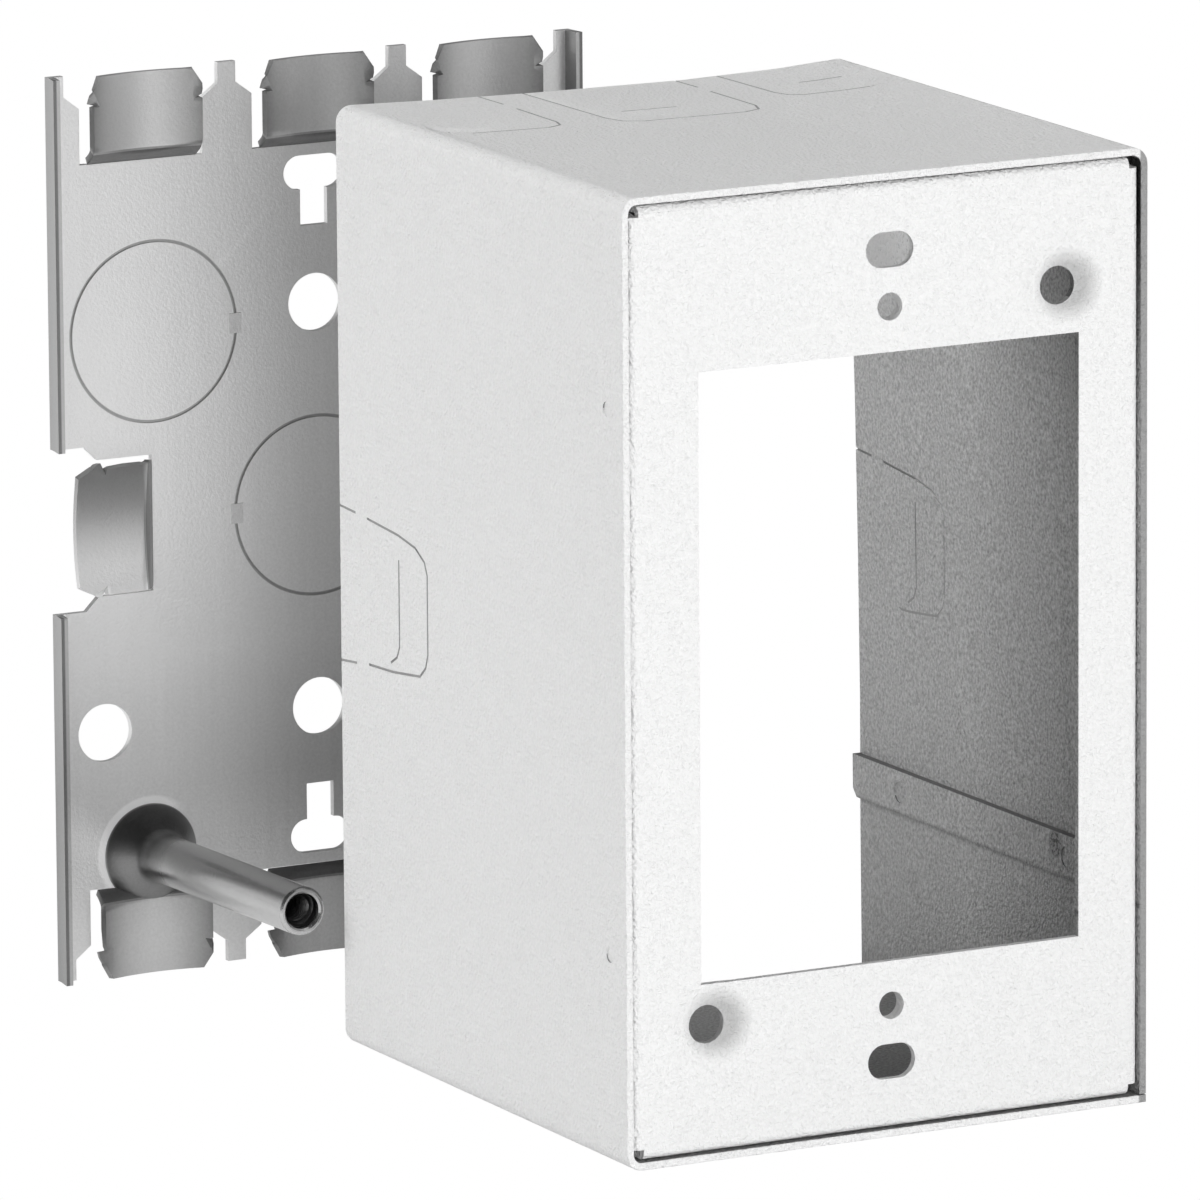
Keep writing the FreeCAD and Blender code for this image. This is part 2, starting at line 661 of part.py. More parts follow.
# Score-cut knockouts with their stamped tabs
rings = new_sketch(plate, "KnockoutLines", "XZ_Plane")
KNOCKOUTS = [("-knockout_x", "knockout_z"), ("knockout_x", "-knockout_z"), ("0", "0")]
for x, z in KNOCKOUTS:
    add_circle(rings, x, z, "knockout_radius")
    add_circle(rings, x, z, "knockout_radius+score_width")
pocket(plate, "KnockoutScore", rings, "2*score_depth", both=True)
tabs = new_sketch(plate, "KnockoutTabs", "XZ_Plane", ("0", "0", "-score_depth-0.1"))
for x, z, way in (("-knockout_x", "knockout_z", "+"), ("knockout_x", "-knockout_z", "-"), ("0", "0", "-")):
    centre = x + way + "knockout_radius"
    add_loop(tabs, rectangle(centre + "-tab_half_width", z + "-tab_half_height",
                             centre + "+tab_half_width", z + "+tab_half_height"))
pad(plate, "KnockoutTabsPad", tabs, "tab_proud+score_depth+0.1")

# Drawn posts: a trumpet-shaped foot and a tapered tube pulled from the sheet, bored right through
POSTS = [("LowerPost", "-post_spacing_x/2", "-post_low"),
         ("UpperPost", "post_spacing_x/2", "post_spacing_z-post_low")]
FLARE = "((post_flare^2+(post_base-post_root)^2)/(2*(post_base-post_root)))"
for name, x, z in POSTS:
    solid = new_sketch(plate, name + "Outside", "YZ_Plane", ("0", z, x))
    add_loop(solid, [
        (PT + "*0.5", "0"), (PT + "*0.5", "post_base"), ("0", "post_base", "-" + FLARE),
        ("-post_flare", "post_root"), ("-(post_length-post_chamfer)", "post_tip"),
        ("-post_length", "post_tip-post_chamfer"), ("-post_length", "0"),
    ])
    spin(plate, name, solid, "Revolution")
    hollow = new_sketch(plate, name + "Inside", "YZ_Plane", ("0", z, x))
    add_loop(hollow, [
        (PT + "+1", "0"), (PT + "+1", "bore_flare"), (PT, "bore_flare"), ("-post_flare*0.6", "post_bore"),
        ("-(post_length+1)", "post_bore"), ("-(post_length+1)", "0"),
    ])
    spin(plate, name + "Bore", hollow, "Groove")

# Mounting holes and keyholes
holes = new_sketch(plate, "WallHoles", "XZ_Plane")
for x, z in (("-side_hole_x", "-side_hole_z"), ("side_hole_x", "side_hole_z"), ("0", "wall_hole_z"),
             ("0", "-wall_hole_z")):
    add_circle(holes, x, z, "round_hole")
HEAD = "key_head_half"
KR = "key_head_radius"
for side in ("", "-"):
    turn = KR if side == "" else "-" + KR
    top = side + "(key_head_z+" + KR + ")"
    low = side + "(key_head_z-" + KR + ")"
    add_loop(holes, [
        ("key_slot_half", low), (HEAD + "-" + KR, low, turn), (HEAD + "-" + KR, top),
        ("-(" + HEAD + "-" + KR + ")", top, turn), ("-(" + HEAD + "-" + KR + ")", low), ("-key_slot_half", low),
        ("-key_slot_half", side + "key_slot_end"), ("key_slot_half", side + "key_slot_end"),
    ])
pocket(plate, "WallHolesCut", holes, "4*plate_sheet", both=True)

# Arrangement: both pieces stand on the floor, the plate behind the cover, shared origin below the middle
RIGHT_REACH = "(cover_width/2+spring_low)"
LEFT_REACH = "(plate_shift+" + P + "+lip_lean)"
CX = "((" + LEFT_REACH + "-" + RIGHT_REACH + ")/2)"
CY = "(-(plate_setback+plate_sheet)/2)"
CZ = "(cover_height/2)"


def place(body, x, y, z, lean="0", tilt="0"):
    # Puts a body at x, y, z, leaned about the upright and tilted about the width.
    body.Placement = FreeCAD.Placement(
        FreeCAD.Vector(), FreeCAD.Rotation(number(lean), 0, number(tilt)))
    for letter, text in zip("xyz", (x, y, z)):
        body.setExpression("Placement.Base." + letter, bound(text))


place(sleeve, CX, CY, CZ)
place(panel, CX, CY, CZ)
LEAN = "atan(spring_strap/cover_depth)"
START = "(cover_depth+strap_overhang-strap_length)"
place(strap, CX + "+" + W + "-" + T + "+" + START + "*spring_strap/cover_depth", CY + "+" + START,
      CZ + "-strap_middle", "-" + LEAN, "-strap_tilt")
place(plate, CX + "-plate_shift", CY + "+plate_setback", Q)
doc.recompute()

# Check every object, then write one file per node
failed = [item.Label for item in doc.Objects if "Invalid" in item.State or "Error" in item.State]
if failed:
    raise RuntimeError("not built: " + ", ".join(failed))
os.makedirs("parts", exist_ok=True)
for body in (plate, sleeve, panel, strap):
    shape = body.Shape
    if shape.isNull() or not shape.isValid() or len(shape.Solids) != 1:
        raise RuntimeError("bad shape: " + body.Label)
    shape.exportStep("parts/" + body.Label + ".step")
    box = shape.BoundBox
    print(body.Label, round(shape.Volume, 1), len(shape.Faces),
          [round(v, 2) for v in (box.XMin, box.XMax, box.YMin, box.YMax, box.ZMin, box.ZMax)])
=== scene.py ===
# %% [markdown]
# The outlet box in this scene is two pieces of formed sheet metal: a painted cover and the bright zinc-coated
# plate that it screws to. The solids come from the CAD frame. This file gives them their finishes, rebuilds the
# pieces whose pressed details a plain solid cannot carry, and sets up the floor, the light and the camera.

# %% Load the frame
import bpy
import bmesh
import math
from mathutils import Matrix, Vector


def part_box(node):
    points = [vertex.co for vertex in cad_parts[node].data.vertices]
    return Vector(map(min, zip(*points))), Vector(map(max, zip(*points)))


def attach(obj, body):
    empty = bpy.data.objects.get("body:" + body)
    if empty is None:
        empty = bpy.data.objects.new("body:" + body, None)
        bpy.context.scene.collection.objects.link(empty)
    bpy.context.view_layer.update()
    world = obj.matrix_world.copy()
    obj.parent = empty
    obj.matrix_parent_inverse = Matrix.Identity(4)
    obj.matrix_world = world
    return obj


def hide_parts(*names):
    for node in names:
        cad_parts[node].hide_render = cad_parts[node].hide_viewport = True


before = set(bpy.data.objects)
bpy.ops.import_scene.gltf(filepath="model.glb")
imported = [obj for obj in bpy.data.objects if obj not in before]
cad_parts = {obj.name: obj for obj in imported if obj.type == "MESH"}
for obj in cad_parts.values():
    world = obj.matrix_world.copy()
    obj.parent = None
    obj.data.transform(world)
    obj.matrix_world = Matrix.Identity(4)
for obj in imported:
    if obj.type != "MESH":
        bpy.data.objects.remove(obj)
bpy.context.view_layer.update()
MM = 0.001
for name in sorted(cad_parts):
    low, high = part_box(name)
    print(name, [round(v / MM, 1) for v in low], [round(v / MM, 1) for v in high])

# %% [markdown]
# The cover is measured from the middle of its front face and the plate from the middle of its own front face, so
# two anchor points carry those places into the shared frame.

# %% Anchor points
SHEET = 0.9
COVER_LEFT = 34.85


def middle(name):
    low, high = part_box(name)
    return (Vector(low) + Vector(high)) / 2


COVER = Vector((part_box("box_sleeve")[0][0] + COVER_LEFT * MM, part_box("box_sleeve")[0][1], middle("box_sleeve").z))
PLATE = Vector((middle("base_plate").x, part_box("base_plate")[1][1] - SHEET * MM, middle("base_plate").z))
print("cover anchor", COVER, "plate anchor", PLATE)

# %% [markdown]
# The real plate is stamped with eight raised tongues: three along the top, three along the bottom and one on each
# side. Two posts and three round knockouts stand between them. The plate's height is read from the solid, so the
# tongues at its ends follow it, and all other sizes are in millimetres, as on a drawing. A place on the plate is
# given as x to the right and z upward from its middle.

# %% Sizes of the plate, in millimetres
PLATE_HALF = (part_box("base_plate")[1][2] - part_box("base_plate")[0][2]) / 2 / MM
TONGUE_FOOT = PLATE_HALF - 11.15
TONGUE_HALF = 7.35
TONGUE_PITCH = 23.5
SIDE_HALF = 7.9
SIDE_FOOT = 22.65
SIDE_LENGTH = 10.9
POST_PLACES = [(-23.5, -40.45), (23.5, 42.75)]
POST_FOOT = 6.25
POST_LENGTH = 42.0
POST_DROP = 1.15
KNOCKOUTS = [(-22.15, 23.9), (22.15, -23.9), (0.0, 0.0)]
RING_LINE = 11.25
print("plate half height", round(PLATE_HALF, 2), "tongue foot", round(TONGUE_FOOT, 2))

# %% Where the tongues stand: foot point and the quarter turns from upright
TONGUES = [(column * TONGUE_PITCH, TONGUE_FOOT, 0) for column in (-1, 0, 1)]
TONGUES += [(column * TONGUE_PITCH, -TONGUE_FOOT, 2) for column in (-1, 0, 1)]
TONGUES += [(-SIDE_FOOT, 0.0, 1), (SIDE_FOOT, 0.0, 3)]


def on_plate(x, z, forward=0.0):
    return PLATE + Vector((x, -forward, z)) * MM


print(len(TONGUES), "tongues, the first one at", on_plate(*TONGUES[0][:2]))

# %% [markdown]
# Shader nodes are easier to read as sums and products. This small class wraps an output socket, so that adding or
# multiplying two of them makes the Math node behind it. One method, feed, places any other kind of node. The short
# methods below it name the few steps that the finishes use again and again, such as the distance from a point.

# %% A wrapper for shader sockets
class Wire:
    def __init__(self, tree, socket):
        self.tree = tree
        self.socket = socket

    def feed(self, kind, inputs=None, output=0, **settings):
        node = self.tree.nodes.new(kind)
        for key, value in settings.items():
            setattr(node, key, value)
        for key, value in (inputs or {}).items():
            if isinstance(value, Wire):
                self.tree.links.new(value.socket, node.inputs[key])
            elif value is not None:
                node.inputs[key].default_value = value
        return Wire(self.tree, node.outputs[output])

    def math(self, operation, other=None, clamp=False):
        return self.feed("ShaderNodeMath", {0: self, 1: other}, operation=operation, use_clamp=clamp)

    def __add__(self, other):
        return self.math("ADD", other)

    def __sub__(self, other):
        return self.math("SUBTRACT", other)

    def __mul__(self, other):
        return self.math("MULTIPLY", other)

    def __truediv__(self, other):
        return self.math("DIVIDE", other)

    def __rsub__(self, other):
        return self.feed("ShaderNodeMath", {0: other, 1: self}, operation="SUBTRACT")

    __radd__ = __add__
    __rmul__ = __mul__

    def clamp(self, times=1.0):
        return self.math("MULTIPLY", times, clamp=True)

    def capped(self, top):
        return self.math("MINIMUM", top)

    def unsigned(self):
        return self.math("ABSOLUTE")

    def axis(self, index):
        return self.feed("ShaderNodeSeparateXYZ", {0: self}, output=index)

    def distance(self, centre):
        return self.feed("ShaderNodeVectorMath", {0: self, 1: centre}, output=1, operation="DISTANCE") / MM

    def reach(self, centre):
        level = self.feed("ShaderNodeVectorMath", {0: self, 1: (1.0, 0.0, 1.0)}, operation="MULTIPLY")
        return level.distance((centre.x, 0.0, centre.z))


print("wire methods", sum(not name.startswith("_") for name in vars(Wire)))

# %% Start of a material
def new_material(name):
    material = bpy.data.materials.new(name)
    material.use_nodes = True
    tree = material.node_tree
    tree.nodes.clear()
    surface = tree.nodes.new("ShaderNodeBsdfPrincipled")
    output = tree.nodes.new("ShaderNodeOutputMaterial")
    tree.links.new(surface.outputs[0], output.inputs["Surface"])
    coordinates = tree.nodes.new("ShaderNodeTexCoord")
    return material, surface, Wire(tree, coordinates.outputs["Object"])


def connect(wire, shader, socket):
    wire.tree.links.new(wire.socket, shader.inputs[socket])


def connect_grey(tone, shader):
    connect(tone.feed("ShaderNodeCombineColor", {0: tone, 1: tone, 2: tone}), shader, "Base Color")


print("each material starts from one Principled node")

# %% [markdown]
# The cover is sprayed with an off-white paint whose surface has a fine orange peel. One small noise makes the bumps
# and a slight unevenness of the colour. An image of paint would do too, but a noise has no seams and no end. The
# inside of the sleeve takes a greyer paint that also carries painted shade. It is darker near the front and towards
# the bottom and lighter towards the back, with a painted shadow line below the strap and a dark grainy mark on the
# strap's front end. The shadow line follows the strap's lower edge, which is measured on the solid.

# %% Lower edge of the strap inside the sleeve
def strap_line():
    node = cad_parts["side_strap"]
    spots = [node.matrix_world @ vert.co for vert in node.data.vertices]
    near = min((spot.z, spot.y) for spot in spots if spot.y < -45.0 * MM)
    far = min((spot.z, spot.y) for spot in spots if spot.y > 6.0 * MM)
    slope = (far[0] - near[0]) / (far[1] - near[1])
    return near[0] - near[1] * slope, slope


STRAP_EDGE, STRAP_SLOPE = strap_line()
print("strap edge height", round(STRAP_EDGE, 4), "slope", round(STRAP_SLOPE, 4))

# %% Tone of the paint inside the sleeve, with painted shade and painted light
STRAP_MARK = (0.0410, -0.0402, 0.0277)


def inside_tone_and_shade(place, grain, speckle):
    depth = (place.axis(1) + 0.05) * 18.0
    height = place.axis(2)
    # Painted shade: darker towards the bottom of the sleeve. High up it is lighter towards the back and darker towards
    # the front, as painted light.
    shade_and_mark = (height * 80.0 + 0.6).capped(1.0) * (height * 4.5 + 0.78).capped(1.0)
    shade_and_mark = shade_and_mark * ((height - 0.080).math("MAXIMUM", 0.0) * (depth * 80.0 - 25.0) + 1.0)
    # Painted shadow: a dark line just below the strap's lower edge.
    edge = place.axis(1) * STRAP_SLOPE + STRAP_EDGE
    strap_shadow = (1.0 - (edge - height - 0.0002).unsigned() * 1500.0).clamp(0.6)
    mark = (2.0 - place.distance(STRAP_MARK)).clamp(1.6) * ((grain - 0.42) * 8.0).clamp()
    shade_and_mark = shade_and_mark * (1.0 - strap_shadow) * (1.0 - mark * 0.85)
    # Painted light: the tone grows lighter from the front of the sleeve towards its back.
    return ((depth * depth * 0.18 + depth * 0.05 + 0.45 + speckle) * shade_and_mark).capped(0.95)


print("strap mark at", STRAP_MARK)

# %% [markdown]
# Two painted shades belong to single places. The sheared rim of the sleeve's right wall is painted dark as shade
# beside the panel's gap, and a soft ring of painted shade lies around each dished hole of the panel, where the sheet
# slopes away from the light.

# %% Painted shades of the rim and the dished holes
DIMPLES = [(23.1, 42.0), (-23.9, -41.2)]
DIMPLE_RADIUS = 4.6
DIMPLE_ASIDE = 1.3
RIM_SIDE = 33.7
RIM_DEPTH = 0.9


def rim_shade(place):
    right = (place.axis(0) - COVER.x - RIM_SIDE * MM).clamp(4000.0)
    front = (RIM_DEPTH * MM - place.axis(1) + COVER.y).clamp(4000.0)
    return 1.0 - right * front * 0.62


def dimple_shade(place):
    shade = 1.0
    for x, z in DIMPLES:
        centre = COVER + Vector((x + DIMPLE_ASIDE, 0.0, z)) * MM
        shade = (1.0 - (DIMPLE_RADIUS - place.reach(centre)).clamp(0.45) * 0.42) * shade
    return shade


print(len(DIMPLES), "dished holes")

# %% Cover paint
PAINT_GRAIN = 2300.0
PAINT_TONE = 0.86
PEEL_HEIGHT = 0.0005


def sprayed(name, colour, peel, mottle, shade=None, inside=False):
    material, surface, place = new_material(name)
    surface.inputs["Roughness"].default_value = 0.45
    grain = place.feed("ShaderNodeTexNoise", {"Vector": place, "Scale": PAINT_GRAIN, "Detail": 2.0, "Roughness": 0.5})
    speckle = (grain - 0.5) * mottle
    tone = inside_tone_and_shade(place, grain, speckle) if inside else speckle + colour
    if shade:
        tone = tone * shade(place)
    connect_grey(tone, surface)
    bump = place.feed("ShaderNodeBump", {"Strength": peel, "Distance": PEEL_HEIGHT, "Height": grain})
    connect(bump, surface, "Normal")
    return material


# The outer paint carries the painted shade of the sleeve's right rim.
paint = sprayed("cover_paint", PAINT_TONE, 1.0, 0.14, shade=rim_shade)
panel_paint = sprayed("cover_paint_panel", PAINT_TONE, 0.9, 0.03, shade=dimple_shade)
inside_paint = sprayed("cover_paint_inside", None, 1.0, 0.9, inside=True)
shade_paint = sprayed("cover_paint_shade", 0.16, 0.3, 0.0)
# Painted shade in the knockout grooves: their faces take a darker paint.
groove_shade_paint = sprayed("cover_paint_groove_shade", 0.40, 0.3, 0.0)
for finish in (paint, panel_paint, inside_paint, shade_paint, groove_shade_paint):
    print(finish.name, len(finish.node_tree.nodes), "nodes")

# %% [markdown]
# The plate is bright zinc-coated sheet. Rolling leaves long faint streaks along its height, and the zinc scatters
# small specks. The sheet is also a soft mirror, so each form of it shows its own light and dark bands. These bands
# are painted as gradients of the colour, one function for each form. Real reflections would need a whole studio
# around the plate, while a gradient can be baked with the piece.

# %% Tone of the flat sheet, with painted shade and a painted highlight
def sheet_tone(tone, place, forward):
    proud = (forward * 20.0 - 0.6).clamp()
    # Painted shade along the groove of each knockout ring.
    for x, z in KNOCKOUTS:
        off_line = (place.reach(on_plate(x, z)) - RING_LINE).unsigned()
        tone = tone * (1.0 - (0.26 - off_line).clamp(9.0) * (1.0 - proud) * 0.5)
    # Painted shade: the sheet is darker where it stands forward of its front face.
    tone = tone * (1.0 - proud * 0.16)
    tone = tone * (1.0 - (forward * 4.0 - 1.2).clamp() * 0.25)
    # Painted highlight on the sheet at the upper left of each post's foot.
    for x, z in ((POST_PLACES[0][0], POST_PLACES[0][1] - POST_DROP), POST_PLACES[1]):
        centre = on_plate(x, z)
        upper_left = ((place.axis(2) - centre.z) - (place.axis(0) - centre.x)).clamp(150.0)
        glow = (7.4 - place.reach(centre)).clamp(1.3) * upper_left * (forward + 0.3).clamp(8.0)
        tone = (tone * (glow * 0.7 + 1.0)).capped(0.97)
    # Painted shade along the fold of each side lip.
    shaded_lip = ((place.axis(0) - PLATE.x).unsigned() / MM - 35.85).clamp(8.0)
    return tone * (1.0 - shaded_lip * (forward - 1.0).clamp(4.0) * 0.6)


print("the sheet is shaded at", len(KNOCKOUTS), "knockouts and", len(POST_PLACES), "posts")

# %% Tones of the tongues and the posts, with painted light and shade
def tongue_tone(tone, place):
    across = ((place.axis(0) - PLATE.x) / MM / TONGUE_PITCH).math("PINGPONG", 0.5) * (TONGUE_PITCH / TONGUE_HALF)
    up = (place.axis(2) - PLATE.z) / MM
    in_middle_row = (20.0 - up.unsigned()).clamp()
    # Painted light bands: upright tongues are lighter along the middle and darker at the sides, side tongues lighter
    # low down and darker high up.
    upright = 1.02 - across * across * 0.58
    sideways = (up * -0.045 + 0.78).capped(1.22)
    return tone * (upright + (sideways - upright) * in_middle_row)


def near_foot(forward):
    return (10.0 - forward).clamp(0.16)


def post_tone(tone, place, forward):
    # Painted shade: the dome and tube are darker than the sheet, most near the foot, and the upper half of the tube is
    # darker still.
    risen = (forward * 4.0 - 0.3).clamp()
    rise = place.axis(2) - PLATE.z
    lower_axis = forward * (POST_DROP / POST_LENGTH) + (POST_PLACES[0][1] - POST_DROP)
    axis = lower_axis + (POST_PLACES[1][1] - lower_axis) * rise.clamp(1000.0)
    shaded_upper_half = (rise / MM - axis).clamp(0.4)
    return tone * (1.0 - risen * (near_foot(forward) * 0.42 + 0.20)) * (1.0 - shaded_upper_half * 0.42)


print("tongue pitch", TONGUE_PITCH, "post length", POST_LENGTH)

# %% Galvanised steel
STREAK_SCALE = (900.0, 900.0, 45.0)
SPECK_SCALE = 2600.0
# Painted shade: the tongues, risers, bends, lip sides and post bores are darker than the flat sheet.
PART_SHADES = {"tongue": 0.78, "riser": 0.22, "bend": 0.42, "lip": 0.42, "bore": 0.22}


def galvanised_steel(name, part):
    material, surface, place = new_material(name)
    surface.inputs["Metallic"].default_value = 1.0 if part in ("post", "bore") else 0.65
    surface.inputs["IOR"].default_value = 1.3
    streaks = place.feed("ShaderNodeMapping", {"Vector": place, "Scale": STREAK_SCALE})
    drawn = place.feed("ShaderNodeTexNoise", {"Vector": streaks, "Scale": 1.0, "Detail": 1.0, "Roughness": 0.5})
    specks = place.feed("ShaderNodeTexNoise", {"Vector": place, "Scale": SPECK_SCALE, "Detail": 2.0, "Roughness": 0.6})
    forward = (PLATE.y - place.axis(1)) / MM
    # Painted light and shade: the steel is lighter on the left and darker low down.
    left = (-0.010 - place.axis(0)).clamp(50.0)
    low = (0.040 - place.axis(2)).clamp(60.0)
    tone = (drawn * 0.05 + specks * 0.18 + left * 0.24 - low * 0.19 + 0.61).capped(0.97)
    if part == "sheet":
        tone = sheet_tone(tone, place, forward)
    if part == "tongue":
        tone = tongue_tone(tone, place)
    if part == "post":
        tone = post_tone(tone, place, forward)
        connect(near_foot(forward) * 0.16 + 0.24, surface, "Roughness")
    else:
        surface.inputs["Roughness"].default_value = 0.29
    connect_grey(tone * PART_SHADES.get(part, 1.0), surface)
    bump = place.feed("ShaderNodeBump", {"Strength": 0.3, "Distance": 0.0001, "Height": specks})
    connect(bump, surface, "Normal")
    return material


# The tongue, riser, bend, lip and bore copies of the steel are darker, as painted shade.
steel = galvanised_steel("galvanised_steel", "sheet")
tongue_steel = galvanised_steel("galvanised_tongues", "tongue")
post_steel = galvanised_steel("galvanised_posts", "post")
riser_steel = galvanised_steel("galvanised_risers", "riser")
bend_steel = galvanised_steel("galvanised_bends", "bend")
lip_steel = galvanised_steel("galvanised_lips", "lip")
bore_steel = galvanised_steel("galvanised_bores", "bore")
for finish in (steel, tongue_steel, post_steel, riser_steel, bend_steel, lip_steel, bore_steel):
    print(finish.name, len(finish.node_tree.nodes), "nodes")

# %% Dress the CAD nodes
FINISHES = {"base_plate": steel, "box_sleeve": paint, "front_panel": paint, "side_strap": inside_paint}
for name, finish in FINISHES.items():
    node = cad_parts[name]
    node.data.materials.clear()
    node.data.materials.append(finish)
    print(name, "wears", finish.name)

# %% [markdown]
# Every new piece ends the same way: its faces are smooth between its sharp edges, it rides on the one body, it takes
# its materials, and the solid that it stands for is hidden. Weighted normals keep the large flat faces flat next to
# small roundings. A solid from the frame is loose triangles, so a copy of it is merged before its edges are worked on.

# %% Helpers for pieces
def finish_piece(shape, name, node, finishes, sharp=40.0):
    mesh = bpy.data.meshes.new(name)
    shape.to_mesh(mesh)
    shape.free()
    for face in mesh.polygons:
        face.use_smooth = True
    mesh.set_sharp_from_angle(angle=math.radians(sharp))
    for finish in finishes:
        mesh.materials.append(finish)
    piece = bpy.data.objects.new(name, mesh)
    bpy.context.scene.collection.objects.link(piece)
    even = piece.modifiers.new("even_normals", "WEIGHTED_NORMAL")
    even.keep_sharp = True
    even.weight = 100
    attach(piece, "root")
    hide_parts(node)
    print(name, len(mesh.polygons), "faces")
    return piece


def merged_copy(name):
    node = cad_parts[name]
    shape = bmesh.new()
    shape.from_mesh(node.data)
    shape.transform(node.matrix_world)
    bmesh.ops.remove_doubles(shape, verts=shape.verts, dist=2e-6)
    bmesh.ops.dissolve_degenerate(shape, edges=shape.edges, dist=1e-6)
    return shape


def add_shape(whole, part):
    spare = bpy.data.meshes.new("spare")
    part.to_mesh(spare)
    part.free()
    whole.from_mesh(spare)
    bpy.data.meshes.remove(spare)


print(len(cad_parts), "solids can be copied")

# %% Flat faces and rounded edges
def flatten(shape):
    bmesh.ops.dissolve_limit(shape, angle_limit=math.radians(0.3), verts=shape.verts, edges=shape.edges)


def is_sheared(edge, angle=60.0):
    return len(edge.link_faces) == 2 and edge.calc_face_angle(0.0) >= math.radians(angle)


def round_edges(shape, edges, amount):
    bmesh.ops.bevel(shape, geom=edges, offset=amount * MM, offset_type="OFFSET", segments=2, profile=0.5,
                    affect="EDGES", clamp_overlap=True, material=-1)
    print(len(edges), "edges rounded by", amount, "mm")


print("a sheared edge turns by 60 degrees or more")

# %% [markdown]
# The wall plate is one stamped sheet. Its outline, lips and knockout lines come from the CAD solid: a copy is merged,
# its coplanar triangles are dissolved, and its sheared edges get a small rounding that catches the light. The tongues
# and the posts are left out of that copy, because a press draws them with soft crowns that are made next.

# %% What the copy of the sheet leaves out
TONGUE_SLOT = 8.0
RING_RADIUS = 11.1


def in_tongue(x, z):
    for foot_x, foot_z, turns in TONGUES:
        ahead = Matrix.Rotation(math.radians(90 * turns), 2) @ Vector((0, 1))
        across = Vector((ahead.y, -ahead.x))
        offset = Vector((x - foot_x, z - foot_z))
        if offset.dot(ahead) > 0.01 and abs(offset.dot(across)) < TONGUE_SLOT:
            return all((x - px) ** 2 + (z - pz) ** 2 > POST_FOOT ** 2 for px, pz in POST_PLACES)
    return False


def off_post(x, z):
    return min(math.hypot(x - px, z - pz) for px, pz in POST_PLACES)


def in_post(x, z, forward):
    return off_post(x, z) < (POST_FOOT if forward > 0.01 else POST_FOOT - 0.6)


def near_ring(x, z):
    return any(abs(math.hypot(x - px, z - pz) - RING_RADIUS) < 1.2 for px, pz in KNOCKOUTS)


print("the middle of the plate is", round(off_post(0.0, 0.0), 1), "mm from the nearest post")

# %% Sheet of the plate without its tongues
def plate_sheet():
    shape = merged_copy("base_plate")
    drop = []
    for face in shape.faces:
        spot = (face.calc_center_median() - PLATE) / MM
        if in_tongue(spot.x, spot.z) or in_post(spot.x, spot.z, -spot.y):
            drop.append(face)
    bmesh.ops.delete(shape, geom=drop, context="FACES")
    flatten(shape)
    rims = []
    for edge in filter(is_sheared, shape.edges):
        start, end = [(vert.co - PLATE) / MM for vert in edge.verts]
        level = any(abs(start.y - skin) < 0.01 and abs(end.y - skin) < 0.01 for skin in (0.0, SHEET))
        spot = (start + end) / 2
        if level and off_post(spot.x, spot.z) >= POST_FOOT + 1 and not near_ring(spot.x, spot.z):
            rims.append(edge)
    round_edges(shape, rims, 0.13)
    for face in shape.faces:
        aside = abs(face.calc_center_median().x - PLATE.x) > 35.0 * MM
        face.material_index = 1 if abs(face.normal.x) > 0.7 and aside else 0
    return finish_piece(shape, "plate_sheet", "base_plate", [steel, lip_steel])


plate_sheet()

# %% [markdown]
# A tongue starts as a flat blank with a slit and a corner flap on each side of its free end. The blank is sliced
# into narrow strips, the flaps are folded back, and a formula then lifts it: steep at the foot, soft at the crown,
# and dished across its width. Last it gets the sheet's thickness. A press works the same way, from a flat sheet, and
# the folds stay crisp, which a sculpted or subdivided block would blur.

# %% Blank of a tongue
RISE = 2.26
DISH = 1.2
END_HALF = 6.2
CROWN_END = 2.6
STRIP_WIDTH = 0.14
STRIP_LENGTH = 0.28
FLAP_TOP = 1.85
FLAP_LOW = 3.7
FLAP_IN = 0.95
FLAP_OUT = 0.9
FLAP_ANGLE = math.radians(46)


def tongue_blank(half, length):
    side = [(half, 0.0), (half, length - FLAP_LOW), (half - FLAP_IN, length - FLAP_LOW),
            (half + FLAP_OUT, length - FLAP_LOW + 0.1), (half + FLAP_OUT - 0.15, length - FLAP_LOW + 0.8),
            (half, length - FLAP_TOP), (half - TONGUE_HALF + END_HALF, length)]
    outline = side + [(-u, v) for u, v in reversed(side)]
    shape = bmesh.new()
    shape.faces.new([shape.verts.new((u, v, 0)) for u, v in outline])
    return shape


def slice_at(shape, place, normal):
    bmesh.ops.bisect_plane(shape, geom=shape.verts[:] + shape.edges[:] + shape.faces[:], plane_co=place,
                           plane_no=normal, dist=1e-5)


def slice_blank(shape, half, length):
    for hand in (1, -1):
        slice_at(shape, (hand * half, length - FLAP_TOP, 0), (hand * (FLAP_LOW - FLAP_TOP), -FLAP_IN, 0))
    for i in range(-6, 7):
        slice_at(shape, (i * STRIP_WIDTH * half, 0, 0), (1, 0, 0))
    for i in range(1, 10):
        slice_at(shape, (0, i * STRIP_LENGTH, 0), (0, 1, 0))
    for i in range(1, 4):
        slice_at(shape, (0, CROWN_END + i * (length - CROWN_END) / 4, 0), (0, 1, 0))


print("a tongue rises", RISE, "mm and is dished by", DISH, "mm")

# %% Folding and lifting the blank
def fold_back(u, v, half, length):
    hand = 1 if u > 0 else -1
    along = Vector((FLAP_IN, FLAP_LOW - FLAP_TOP)).normalized()
    outward = Vector((along.y, -along.x))
    offset = Vector((abs(u) - half + FLAP_IN, v - length + FLAP_LOW))
    reach = offset.dot(outward)
    if reach < 1e-3 or v < length - FLAP_LOW + 0.05:
        return u, v, 0.0
    lost = reach * (1 - math.cos(FLAP_ANGLE))
    return u - hand * outward.x * lost, v - outward.y * lost, reach * math.sin(FLAP_ANGLE)


